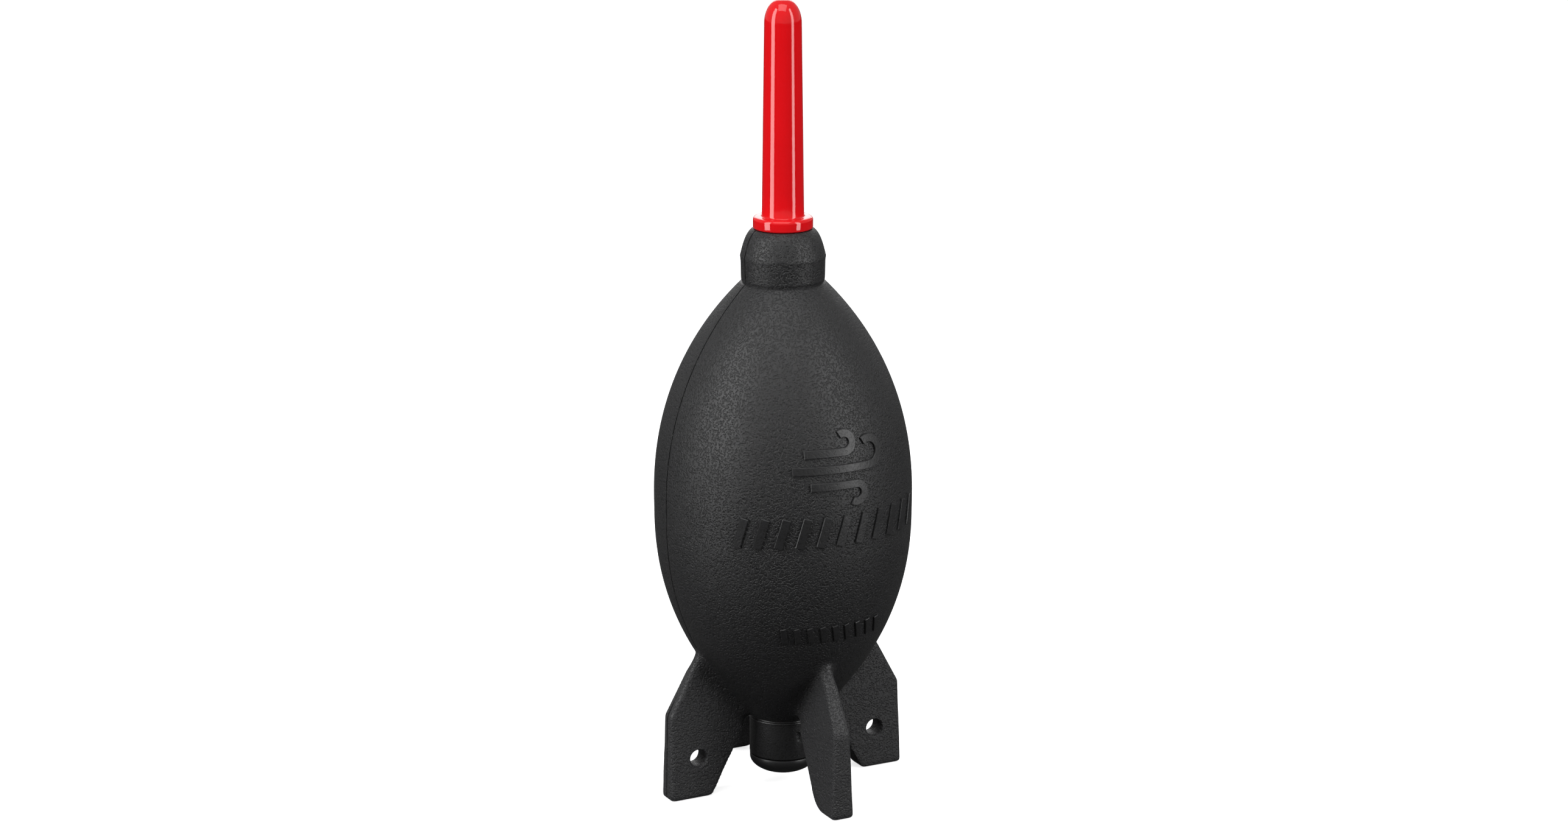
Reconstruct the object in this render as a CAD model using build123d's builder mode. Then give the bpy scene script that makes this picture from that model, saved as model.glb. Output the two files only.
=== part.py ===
from build123d import *
import os
from math import cos, radians, sin, sqrt, tan

# Hand dust blower in the shape of a rocket: a one-piece rubber bulb that stands on four fins,
# a rigid nozzle pushed into its neck, and a one-way intake valve plugged into its tail.
# Millimetres, +Z up through the nozzle's tip. The origin is on the floor, under the axis.
# The side fins lie along X, in the mould's parting plane, and the front fin points to -Y.

# ---- Heights, each counted from the piece below it ----
boss_floor_gap = 7.5        # floor to the underside of the tail boss
boss_length = 9.7           # tail boss, from its underside to the bulb
bulb_length = 106.8         # boss to the crease under the neck
neck_length = 12.5          # crease to the top of the neck
collar_seat_gap = 0.1       # top of the neck to the nozzle's collar
collar_thickness = 2.8
tube_length = 50.6          # nozzle above its collar

# ---- Bulb ----
belly_r = 30.75             # widest radius
belly_rise = 54.3           # height of the widest place above the boss
belly_wall = 2.8            # rubber at the widest place
floor_wall = 4.8            # rubber at the bulb's floor
crown_wall = 3.0            # hollow's top to the crease
lower_flank = (0.260, 0.867)    # share of bulb_length, share of belly_r
upper_flank = (0.850, 0.716)
boss_r = 8.1
crease_r = 9.9              # neck's foot
neck_ridge_r = 9.97         # neck's widest ring
neck_ridge_drop = 6.4       # from the neck's top down to that ring
neck_shoulder_r = 9.2       # halfway round the neck's curved top
neck_shoulder_drop = 3.1
neck_top_r = 7.2

# ---- Fins ----
fin_foot_r = 31.3           # outer end of the foot
fin_shoulder_r = 30.9
fin_shoulder_z = 21.0
fin_lean = 28.2             # degrees between the edge above the shoulder and the axis
side_fin_inner_foot_r = 20.6
front_fin_inner_foot_r = 22.2
fin_inner_lean = 29.5       # degrees between the inner edge and the axis
fin_foot_thickness = 5.8
fin_root_thickness = 2.6    # where the fin runs out on the bulb
fin_root_z = 40.0
fin_edge_radius = 0.6
lanyard_hole_r = 2.0        # in the two side fins only
lanyard_hole_out = 23.9     # from the axis
lanyard_hole_z = 10.0

# ---- Squeeze areas: the thumb's and the fingers' patches of the bulb's own wall ----
squeeze_side_margin = 13.75     # from the patch to the bulb's side
squeeze_floor_margin = 27.2     # from the patch to the hollow's floor
squeeze_crown_margin = 19.8     # from the patch to the hollow's top
squeeze_gap = 0.3               # slit round a patch that lets it move on its own

# ---- Nozzle ----
tube_base_r = 4.96
tube_top_r = 4.35
tip_length = 5.3            # rounded end of the tube
tip_flat_r = 1.2            # small flat round the outlet
collar_r = 7.06
collar_edge_radius = 0.9
outlet_r = 0.75
outlet_length = 4.0
tube_wall = 1.4             # at the tube's top
stem_wall = 1.15
stem_length = 18.0          # pushed into the neck
stem_ring_depth = 0.4       # rings above the stem between them
stem_ring_count = 3
stem_ring_height = 3.0
stem_ring_pitch = 5.5
neck_bore_r = 4.6
neck_running_gap = 0.05     # rings in the neck's bore

# ---- Intake valve in the tail ----
plug_seat_gap = 0.15        # seen as the dark line under the boss
plug_rim_height = 0.95      # straight side of the plug's head
plug_dome_depth = 3.86
plug_rim_inset = 0.04       # head to the side of the boss
intake_r = 1.8
boss_bore_r = 5.5
barb_overhang = 0.8         # snap head inside the bulb, past the shank
barb_height = 1.4
barb_floor_gap = 0.3
shank_wall = 1.2            # round the valve's chamber
chamber_floor_rise = 4.5    # above the boss's underside
seat_lip_r = 2.6
seat_lip_width = 0.6
seat_lip_height = 0.4
disc_side_gap = 0.4
disc_thickness = 0.8
disc_travel = 0.95
disc_stop_gap = 0.05        # left between disc and retainer at full travel
retainer_height = 3.0
retainer_wall = 0.9
retainer_bar_width = 1.2
retainer_bar_height = 1.0

# ---- Worked out from the sizes above ----
boss_top_z = boss_floor_gap + boss_length
crease_z = boss_top_z + bulb_length
neck_top_z = crease_z + neck_length
collar_z = neck_top_z + collar_seat_gap
tube_z = collar_z + collar_thickness
tip_z = tube_z + tube_length
belly_z = boss_top_z + belly_rise
cavity_r = belly_r - belly_wall
cavity_floor_z = boss_top_z + floor_wall
cavity_top_z = crease_z - crown_wall
squeeze_bottom_z = cavity_floor_z + squeeze_floor_margin
squeeze_top_z = cavity_top_z - squeeze_crown_margin
squeeze_z = (squeeze_bottom_z + squeeze_top_z) / 2
squeeze_half_height = (squeeze_top_z - squeeze_bottom_z) / 2
squeeze_half_width = belly_r - squeeze_side_margin
squeeze_reach = belly_r + belly_wall
stem_ring_r = neck_bore_r - neck_running_gap
stem_core_r = stem_ring_r - stem_ring_depth
passage_base_r = stem_core_r - stem_wall
passage_top_r = tube_top_r - tube_wall
barb_r = boss_bore_r + barb_overhang
chamber_r = boss_bore_r - shank_wall
plug_seat_z = boss_floor_gap - plug_seat_gap
chamber_floor_z = boss_floor_gap + chamber_floor_rise
disc_z = chamber_floor_z + seat_lip_height
retainer_z = disc_z + disc_thickness + disc_travel + disc_stop_gap
barb_floor_z = belly_z - (belly_z - cavity_floor_z) * sqrt(1 - (barb_r / cavity_r) ** 2)
barb_z = barb_floor_z + barb_floor_gap


def flank_point(share):
    """Place on the bulb's side, from a share of its length and a share of its widest radius."""
    along, across = share
    return (across * belly_r, boss_top_z + along * bulb_length)


def quarter_ellipse(end_z):
    """Side of the hollow, from its widest place to one end on the axis."""
    rise = end_z - belly_z
    Spline(
        (cavity_r, belly_z),
        (cavity_r * cos(radians(30)), belly_z + rise * sin(radians(30))),
        (cavity_r * cos(radians(60)), belly_z + rise * sin(radians(60))),
        (0, end_z),
        tangents=[(0, rise), (-1, 0)],
    )


def fin(inner_foot_r):
    """One fin along +X, drawn in to the axis so that the bulb's own wall trims its root."""
    lean_run = fin_shoulder_r / tan(radians(fin_lean))
    inner_run = inner_foot_r / tan(radians(fin_inner_lean))
    with BuildPart() as blade:
        with BuildSketch(Plane.XZ):
            with BuildLine():
                Polyline(
                    (inner_foot_r, 0),
                    (fin_foot_r, 0),
                    (fin_shoulder_r, fin_shoulder_z),
                    (0, fin_shoulder_z + lean_run),
                    (0, inner_run),
                    close=True,
                )
            make_face()
        extrude(amount=fin_foot_thickness, both=True)
        with BuildSketch(Plane.YZ):
            with BuildLine():
                Polyline(
                    (-fin_foot_thickness / 2, 0),
                    (fin_foot_thickness / 2, 0),
                    (fin_root_thickness / 2, fin_root_z),
                    (-fin_root_thickness / 2, fin_root_z),
                    close=True,
                )
            make_face()
        extrude(amount=fin_foot_r, mode=Mode.INTERSECT)
        outer_edges = blade.edges().filter_by_position(Axis.X, fin_foot_r * 0.5, fin_foot_r)
        fillet(outer_edges.filter_by(lambda edge: edge.center().Z > 1), fin_edge_radius)
    return blade.part


with BuildPart() as side_fin:
    add(fin(side_fin_inner_foot_r))
    with BuildSketch(Plane.XZ):
        with Locations((lanyard_hole_out, lanyard_hole_z)):
            Circle(lanyard_hole_r)
    extrude(amount=fin_foot_thickness, both=True, mode=Mode.SUBTRACT)

# ---- Bulb: outside skin, fins and boss first, then the hollow and the two bores ----
with BuildPart() as moulding:
    with BuildSketch(Plane.XZ):
        with BuildLine():
            Line((0, boss_top_z), (boss_r, boss_top_z))
            Spline(
                (boss_r, boss_top_z),
                flank_point(lower_flank),
                (belly_r, belly_z),
                flank_point(upper_flank),
                (crease_r, crease_z),
            )
            Line((crease_r, crease_z), (neck_ridge_r, neck_top_z - neck_ridge_drop))
            ThreePointArc(
                (neck_ridge_r, neck_top_z - neck_ridge_drop),
                (neck_shoulder_r, neck_top_z - neck_shoulder_drop),
                (neck_top_r, neck_top_z),
            )
            Polyline((neck_top_r, neck_top_z), (0, neck_top_z), (0, boss_top_z))
        make_face()
    revolve(axis=Axis.Z)
    with PolarLocations(0, 2):
        add(side_fin.part)
    with PolarLocations(0, 2, start_angle=90):
        add(fin(front_fin_inner_foot_r))
    with BuildSketch(Plane.XY.offset(boss_floor_gap)):
        Circle(boss_r)
    extrude(amount=boss_length + floor_wall / 2)
    with BuildSketch(Plane.XZ):
        with BuildLine():
            Line((0, cavity_top_z), (0, cavity_floor_z))
            quarter_ellipse(cavity_floor_z)
            quarter_ellipse(cavity_top_z)
        make_face()
    revolve(axis=Axis.Z, mode=Mode.SUBTRACT)
    with BuildSketch(Plane.XY.offset(belly_z)):
        Circle(neck_bore_r)
    extrude(amount=neck_top_z - belly_z, mode=Mode.SUBTRACT)
    with BuildSketch(Plane.XY.offset(boss_floor_gap)):
        Circle(boss_bore_r)
    extrude(amount=belly_z - boss_floor_gap, mode=Mode.SUBTRACT)

with BuildPart() as bulb:
    add(moulding.part)
    with BuildSketch(Plane.XZ):
        with Locations((0, squeeze_z)):
            Ellipse(squeeze_half_width + squeeze_gap, squeeze_half_height + squeeze_gap)
    extrude(amount=squeeze_reach, both=True, mode=Mode.SUBTRACT)

with BuildPart() as squeeze_wall_front:
    add(moulding.part)
    with BuildSketch(Plane.XZ):
        with Locations((0, squeeze_z)):
            Ellipse(squeeze_half_width, squeeze_half_height)
    extrude(amount=squeeze_reach, mode=Mode.INTERSECT)

with BuildPart() as squeeze_wall_back:
    add(squeeze_wall_front.part.rotate(Axis.Z, 180))

# ---- Nozzle: stem with grip rings, collar and tapered tube in one moulding ----
with BuildPart() as nozzle:
    with BuildSketch(Plane.XZ):
        with BuildLine():
            Polyline(
                (0, collar_z - stem_length),
                (stem_core_r, collar_z - stem_length),
                (stem_core_r, collar_z),
                (collar_r, collar_z),
                (collar_r, tube_z),
                (tube_base_r, tube_z),
                (tube_top_r, tip_z - tip_length),
            )
            TangentArc((tube_top_r, tip_z - tip_length), (tip_flat_r, tip_z), tangent=(0, 1))
            Polyline((tip_flat_r, tip_z), (0, tip_z), (0, collar_z - stem_length))
        make_face()
    revolve(axis=Axis.Z)
    rim_edges = nozzle.edges().filter_by(GeomType.CIRCLE)
    fillet(rim_edges.filter_by(lambda edge: abs(edge.radius - collar_r) < 0.01), collar_edge_radius)
    for ring in range(stem_ring_count):
        ring_z = collar_z - stem_length + ring * stem_ring_pitch
        with BuildSketch(Plane.XY.offset(ring_z)):
            Circle(stem_ring_r)
        extrude(amount=stem_ring_height)
    with BuildSketch(Plane.XZ):
        with BuildLine():
            Polyline(
                (0, collar_z - stem_length),
                (passage_base_r, collar_z - stem_length),
                (passage_top_r, tip_z - outlet_length - passage_top_r),
                (outlet_r, tip_z - outlet_length),
                (outlet_r, tip_z),
                (0, tip_z),
                close=True,
            )
        make_face()
    revolve(axis=Axis.Z, mode=Mode.SUBTRACT)

# ---- Intake valve: plug with a domed head, loose disc, and the retainer that keeps it in ----
with BuildPart() as valve_plug:
    plug_r = boss_r - plug_rim_inset
    dome_z = plug_seat_z - plug_rim_height
    with BuildSketch(Plane.XZ):
        with BuildLine():
            EllipticalCenterArc((0, dome_z), plug_r, plug_dome_depth, start_angle=270, arc_size=90)
            Polyline(
                (plug_r, dome_z),
                (plug_r, plug_seat_z),
                (boss_bore_r, plug_seat_z),
                (boss_bore_r, barb_z),
                (barb_r, barb_z),
                (boss_bore_r, barb_z + barb_height),
                (0, barb_z + barb_height),
                (0, dome_z - plug_dome_depth),
            )
        make_face()
    revolve(axis=Axis.Z)
    with BuildSketch(Plane.XY.offset(chamber_floor_z)):
        Circle(chamber_r)
        Circle(seat_lip_r + seat_lip_width / 2, mode=Mode.SUBTRACT)
        Circle(seat_lip_r - seat_lip_width / 2)
    extrude(amount=seat_lip_height, mode=Mode.SUBTRACT)
    with BuildSketch(Plane.XY.offset(disc_z)):
        Circle(chamber_r)
    extrude(amount=barb_z + barb_height - disc_z, mode=Mode.SUBTRACT)
    with BuildSketch(Plane.XY):
        Circle(intake_r)
    extrude(amount=disc_z, mode=Mode.SUBTRACT)

with BuildPart() as valve_disc:
    with BuildSketch(Plane.XY.offset(disc_z)):
        Circle(chamber_r - disc_side_gap)
    extrude(amount=disc_thickness)

with BuildPart() as valve_retainer:
    with BuildSketch(Plane.XY.offset(retainer_z)):
        Circle(chamber_r)
        Circle(chamber_r - retainer_wall, mode=Mode.SUBTRACT)
    extrude(amount=retainer_height)
    with BuildSketch(Plane.XY.offset(retainer_z)):
        Rectangle(2 * chamber_r - retainer_wall, retainer_bar_width)
        Rectangle(retainer_bar_width, 2 * chamber_r - retainer_wall)
    extrude(amount=retainer_bar_height)

bulb.part.label = "bulb"
squeeze_wall_front.part.label = "squeeze_wall_front"
squeeze_wall_back.part.label = "squeeze_wall_back"
nozzle.part.label = "nozzle"
valve_plug.part.label = "valve_plug"
valve_disc.part.label = "valve_disc"
valve_retainer.part.label = "valve_retainer"

os.makedirs("parts", exist_ok=True)
export_step(bulb.part, "parts/bulb.step")
export_step(squeeze_wall_front.part, "parts/squeeze_wall_front.step")
export_step(squeeze_wall_back.part, "parts/squeeze_wall_back.step")
export_step(nozzle.part, "parts/nozzle.step")
export_step(valve_plug.part, "parts/valve_plug.step")
export_step(valve_disc.part, "parts/valve_disc.step")
export_step(valve_retainer.part, "parts/valve_retainer.step")
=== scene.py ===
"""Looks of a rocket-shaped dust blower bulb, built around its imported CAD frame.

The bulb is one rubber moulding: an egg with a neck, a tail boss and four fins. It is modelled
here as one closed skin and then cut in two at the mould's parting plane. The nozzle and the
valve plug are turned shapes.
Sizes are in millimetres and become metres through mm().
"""
import logging
from dataclasses import dataclass
from enum import Enum
from math import asin, cos, hypot, pi, radians, sin, tan
from typing import Callable, Optional, Sequence

import bmesh
import bpy
import numpy as np
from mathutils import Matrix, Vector
from mathutils.geometry import interpolate_bezier


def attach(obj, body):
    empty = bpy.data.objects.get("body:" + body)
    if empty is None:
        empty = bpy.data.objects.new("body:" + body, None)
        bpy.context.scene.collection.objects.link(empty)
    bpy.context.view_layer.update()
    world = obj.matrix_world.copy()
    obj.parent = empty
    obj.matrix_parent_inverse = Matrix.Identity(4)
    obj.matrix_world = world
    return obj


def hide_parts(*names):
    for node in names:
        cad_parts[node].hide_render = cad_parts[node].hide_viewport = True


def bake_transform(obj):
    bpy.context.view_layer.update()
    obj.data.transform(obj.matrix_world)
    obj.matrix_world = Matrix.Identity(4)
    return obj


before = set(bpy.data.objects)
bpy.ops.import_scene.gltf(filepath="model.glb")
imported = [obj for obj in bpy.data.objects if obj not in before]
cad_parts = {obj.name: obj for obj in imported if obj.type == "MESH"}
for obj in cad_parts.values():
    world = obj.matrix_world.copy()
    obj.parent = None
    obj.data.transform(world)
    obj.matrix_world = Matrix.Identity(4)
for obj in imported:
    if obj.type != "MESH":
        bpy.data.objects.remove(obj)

log = logging.getLogger("dust_blower")

Point = tuple[float, float]
Triple = tuple[float, float, float]
Outline = list[Point]
Piece = bpy.types.Object
Material = bpy.types.Material
Node = bpy.types.Node
Socket = bpy.types.NodeSocket
InputKey = str | int             # a node input's name, or its number where names repeat

BODY_BULB = "bulb"
BODY_NOZZLE = "nozzle"
# The fins' mask deepens the grain there and paints the fins paler, as painted light.
FIN_LIGHT_AND_GRAIN = "fin_light_and_grain"              # attribute of the rubber's mesh: 1 out on the fins, else 0
WELD = 0.004                     # mm, points that a cut leaves closer than this are one point


class Side(Enum):
    """The two sides of the parting plane, with the way each one points along Y."""

    FRONT = -1
    BACK = 1


class FinDirection(Enum):
    """Where the four fins point, as turns about the bulb's axis in degrees from +X."""

    RIGHT = 0
    BACK = 90
    LEFT = 180
    FRONT = 270


# ---------------------------------------------------------------- modelling helpers


def mm(value: float) -> float:
    """Millimetres to metres."""
    return value / 1000.0


def deselect_all() -> None:
    """Leave nothing selected and no object in edit mode."""
    if bpy.context.object and bpy.context.object.mode != "OBJECT":
        bpy.ops.object.mode_set(mode="OBJECT")
    bpy.ops.object.select_all(action="DESELECT")


def activate(piece: Piece) -> None:
    """Make one object the only selected one and the active one."""
    deselect_all()
    piece.select_set(True)
    bpy.context.view_layer.objects.active = piece


def enter_edit(piece: Piece, mode: str = "VERT") -> None:
    """Open an object in edit mode with nothing selected.

    Args:
        piece: the mesh object.
        mode: VERT, EDGE or FACE.
    """
    activate(piece)
    bpy.ops.object.mode_set(mode="EDIT")
    bpy.ops.mesh.select_mode(type=mode)
    bpy.ops.mesh.select_all(action="DESELECT")


def leave_edit() -> None:
    """Close edit mode."""
    bpy.ops.object.mode_set(mode="OBJECT")


def select_vertices(piece: Piece, wanted: Callable[[Vector], bool]) -> None:
    """Select, in edit mode, the vertices whose place passes a test.

    Args:
        piece: the object in edit mode.
        wanted: takes a vertex's place in metres.
    """
    mesh = bmesh.from_edit_mesh(piece.data)
    for vertex in mesh.verts:
        vertex.select = wanted(vertex.co)
    mesh.select_flush(True)
    bmesh.update_edit_mesh(piece.data)


def select_edges(piece: Piece, wanted: Callable[[Vector, Vector], bool]) -> None:
    """Select, in edit mode, the edges whose two ends pass a test.

    Args:
        piece: the object in edit mode.
        wanted: takes the places of an edge's two ends in metres.
    """
    mesh = bmesh.from_edit_mesh(piece.data)
    for edge in mesh.edges:
        edge.select = wanted(edge.verts[0].co, edge.verts[1].co)
    bmesh.update_edit_mesh(piece.data)


def rename(piece: Piece, name: str) -> Piece:
    """Name an object and its mesh alike."""
    piece.name = name
    piece.data.name = name
    return piece


def start_chain(name: str, place: Triple) -> Piece:
    """Start an outline: a plane merged to the one vertex that the rest is extruded from.

    Args:
        name: the new object's name.
        place: the vertex's place in millimetres.

    Returns:
        The object, in edit mode with that vertex selected.
    """
    deselect_all()
    bpy.ops.mesh.primitive_plane_add(size=mm(1.0), location=[mm(v) for v in place])
    bpy.ops.object.transform_apply(location=True, rotation=True, scale=True)
    piece = rename(bpy.context.object, name)
    bpy.ops.object.mode_set(mode="EDIT")
    bpy.ops.mesh.select_mode(type="VERT")
    bpy.ops.mesh.select_all(action="SELECT")
    bpy.ops.mesh.merge(type="CENTER")
    return piece


def extrude_by(step: Triple) -> None:
    """Extrude what is selected by a step in millimetres."""
    move = {"value": [mm(v) for v in step], "orient_type": "GLOBAL"}
    bpy.ops.mesh.extrude_region_move(TRANSFORM_OT_translate=move)


def chain(name: str, outline: Sequence[Point], depth: float = 0.0) -> Piece:
    """Draw an outline in the XZ plane by extruding a vertex from point to point.

    Args:
        name: the new object's name.
        outline: points (across, up) in millimetres.
        depth: where the outline lies along Y, in millimetres.

    Returns:
        The object, in edit mode with its last vertex selected.
    """
    piece = start_chain(name, (outline[0][0], depth, outline[0][1]))
    for (from_x, from_z), (to_x, to_z) in zip(outline, outline[1:]):
        extrude_by((to_x - from_x, 0.0, to_z - from_z))
    return piece


def face_outward() -> None:
    """Recalculate the normals of the whole mesh in edit mode, so that they point out."""
    bpy.ops.mesh.select_all(action="SELECT")
    bpy.ops.mesh.normals_make_consistent(inside=False)


def lathe(name: str, outline: Sequence[Point], steps: int) -> Piece:
    """Turn an outline about the Z axis to a closed solid.

    Args:
        name: the new object's name.
        outline: points (radius, height) in millimetres. It starts and ends on the axis, or
            its last point is its first.
        steps: how many stretches go round.

    Returns:
        The turned object.
    """
    piece = chain(name, outline)
    bpy.ops.mesh.select_all(action="SELECT")
    bpy.ops.mesh.spin(steps=steps, angle=2 * pi, center=(0, 0, 0), axis=(0, 0, 1))
    bpy.ops.mesh.select_all(action="SELECT")
    bpy.ops.mesh.remove_doubles(threshold=mm(WELD / 2))
    face_outward()
    leave_edit()
    return piece


def plate(name: str, outline: Sequence[Point], thickness: float) -> Piece:
    """Fill an outline in the XZ plane and thicken it both ways along Y.

    Args:
        name: the new object's name.
        outline: corner points (across, up) in millimetres, without repeating the first.
        thickness: in millimetres.

    Returns:
        The plate.
    """
    piece = chain(name, outline, depth=-thickness / 2)
    bpy.ops.mesh.select_all(action="SELECT")
    bpy.ops.mesh.edge_face_add()
    bpy.ops.mesh.select_all(action="SELECT")
    extrude_by((0.0, thickness, 0.0))
    face_outward()
    leave_edit()
    return piece


def join(name: str, pieces: Sequence[Piece]) -> Piece:
    """Join objects to one mesh without welding them."""
    deselect_all()
    for piece in pieces:
        piece.select_set(True)
    bpy.context.view_layer.objects.active = pieces[0]
    if len(pieces) > 1:
        bpy.ops.object.join()
    return rename(bpy.context.object, name)


def apply_modifier(piece: Piece, kind: str, **settings: object) -> None:
    """Add a modifier and apply it at once.

    Args:
        piece: the mesh object.
        kind: the modifier's type.
        settings: its properties.
    """
    activate(piece)
    modifier = piece.modifiers.new(kind.lower(), kind)
    for key, value in settings.items():
        setattr(modifier, key, value)
    bpy.ops.object.modifier_apply(modifier=modifier.name)


def combine(piece: Piece, other: Piece, operation: str) -> None:
    """Boolean another object into or out of a piece, and delete the other one.

    Args:
        piece: the mesh that is kept.
        other: a closed mesh.
        operation: UNION, DIFFERENCE or INTERSECT.
    """
    apply_modifier(piece, "BOOLEAN", object=other, operation=operation, solver="MANIFOLD")
    bpy.data.objects.remove(other)


def weld_slivers(piece: Piece) -> None:
    """Merge the all but coincident points that a cut leaves, and the flat faces between them."""
    enter_edit(piece)
    bpy.ops.mesh.select_all(action="SELECT")
    bpy.ops.mesh.remove_doubles(threshold=mm(WELD))
    bpy.ops.mesh.dissolve_degenerate(threshold=mm(WELD))
    face_outward()
    leave_edit()


def settle(
    piece: Piece,
    place: Triple = (0.0, 0.0, 0.0),
    tip: float = 0.0,
    turn: float = 0.0,
    stretch: Triple = (1.0, 1.0, 1.0),
) -> None:
    """Scale, turn and move a piece, and put all of that in its mesh.

    Args:
        piece: the mesh object, at the origin.
        place: where it goes, in millimetres.
        tip: degrees about X.
        turn: degrees about the bulb's axis, counter-clockwise from above.
        stretch: scale along X, Y and Z.
    """
    activate(piece)
    piece.rotation_euler = (radians(tip), 0, radians(turn))
    piece.scale = stretch
    piece.location = [mm(v) for v in place]
    bpy.ops.object.transform_apply(location=True, rotation=True, scale=True)


def points_of(piece: Piece) -> np.ndarray:
    """A mesh's points in millimetres, one row for each."""
    flat = np.empty(len(piece.data.vertices) * 3)
    piece.data.vertices.foreach_get("co", flat)
    return flat.reshape(-1, 3) * 1000.0


def smooth_shading(piece: Piece, angle: float = 35.0) -> None:
    """Shade a piece smooth, with edges sharper than the angle in degrees kept crisp."""
    activate(piece)
    bpy.ops.object.shade_smooth_by_angle(angle=radians(angle))


def arc(centre: Point, radius: float, start: float, end: float, count: int) -> Outline:
    """Points along an arc.

    Args:
        centre: in millimetres.
        radius: in millimetres.
        start: degrees, 0 along the first axis.
        end: degrees.
        count: number of points, both ends included.

    Returns:
        The points, from start to end.
    """
    turns = [radians(start + (end - start) * i / (count - 1)) for i in range(count)]
    return [(centre[0] + radius * cos(t), centre[1] + radius * sin(t)) for t in turns]


def bezier(knots: Sequence[Point], count: int) -> Outline:
    """Points along one Bezier stretch.

    Args:
        knots: start, its handle, the end's handle, end, in millimetres.
        count: number of points, both ends included.

    Returns:
        The points.
    """
    flat = [Vector((across, up, 0.0)) for across, up in knots]
    return [(v.x, v.y) for v in interpolate_bezier(*flat, count)]


# ---------------------------------------------------------------- finishes


def srgb(hex_colour: str) -> tuple[float, float, float, float]:
    """An sRGB hex colour as linear RGBA.

    Args:
        hex_colour: such as "#1a2b3c".

    Returns:
        Linear red, green, blue and an alpha of 1.
    """
    channels = [int(hex_colour[i:i + 2], 16) / 255 for i in (1, 3, 5)]
    linear = [c / 12.92 if c <= 0.04045 else ((c + 0.055) / 1.055) ** 2.4 for c in channels]
    return (linear[0], linear[1], linear[2], 1.0)


def add_node(
    material: Material,
    kind: str,
    settings: Optional[dict[InputKey, object]] = None,
    links: Optional[dict[InputKey, Socket]] = None,
) -> Node:
    """Add a shader node, set it and link what goes into it.

    Args:
        material: the material whose tree it joins.
        kind: the node's type name after "ShaderNode".
        settings: values by property name, or by input where there is no such property.
        links: output sockets by the input that each one feeds.

    Returns:
        The node.
    """
    node = material.node_tree.nodes.new(f"ShaderNode{kind}")
    for key, value in (settings or {}).items():
        if isinstance(key, str) and hasattr(node, key):
            setattr(node, key, value)
        else:
            node.inputs[key].default_value = value
    for key, socket in (links or {}).items():
        material.node_tree.links.new(socket, node.inputs[key])
    return node


def new_material(name: str) -> tuple[Material, Node]:
    """An empty node material and its output node."""
    material = bpy.data.materials.new(name)
    material.use_nodes = True
    material.node_tree.nodes.clear()
    output = add_node(material, "OutputMaterial")
    return material, output


def add_noise(material: Material, feature: float, **settings: float) -> Node:
    """Add a noise texture on Object coordinates.

    Args:
        material: the material whose tree it joins.
        feature: the size of its features in millimetres.
        settings: its other inputs.

    Returns:
        The node.
    """
    place = add_node(material, "TexCoord").outputs["Object"]
    inputs = {"Scale": 1.0 / mm(feature), **settings}
    return add_node(material, "TexNoise", inputs, {"Vector": place})


def add_range(material: Material, value: Socket, settings: dict[InputKey, object]) -> Socket:
    """Map a value from one range to another, and return the result's socket."""
    return add_node(material, "MapRange", settings, {"Value": value}).outputs[0]


def add_mix(material: Material, share: Socket, low: str | Socket, high: str) -> Socket:
    """Mix two colours.

    Args:
        material: the material whose tree it joins.
        share: how much of the second one, from 0 to 1.
        low: the first colour, as hex or as a socket.
        high: the second colour, as hex.

    Returns:
        The mixed colour's socket.
    """
    settings = {"data_type": "RGBA", 7: srgb(high)}
    links = {0: share}
    if isinstance(low, str):
        settings[6] = srgb(low)
    else:
        links[6] = low
    return add_node(material, "Mix", settings, links).outputs[2]


def split_by_camera_ray(
    tree_owner: Material | bpy.types.World,
    others: Node,
    camera: Node,
    output: Node,
) -> None:
    """Show one shader to the camera and let another one light the object.

    Args:
        tree_owner: the floor's material or the world.
        others: the shader that all other rays meet.
        camera: the shader that the camera sees.
        output: the tree's output node.
    """
    path = add_node(tree_owner, "LightPath")
    links = {0: path.outputs["Is Camera Ray"], 1: others.outputs[0], 2: camera.outputs[0]}
    both = add_node(tree_owner, "MixShader", {}, links)
    tree_owner.node_tree.links.new(both.outputs[0], output.inputs["Surface"])


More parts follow.
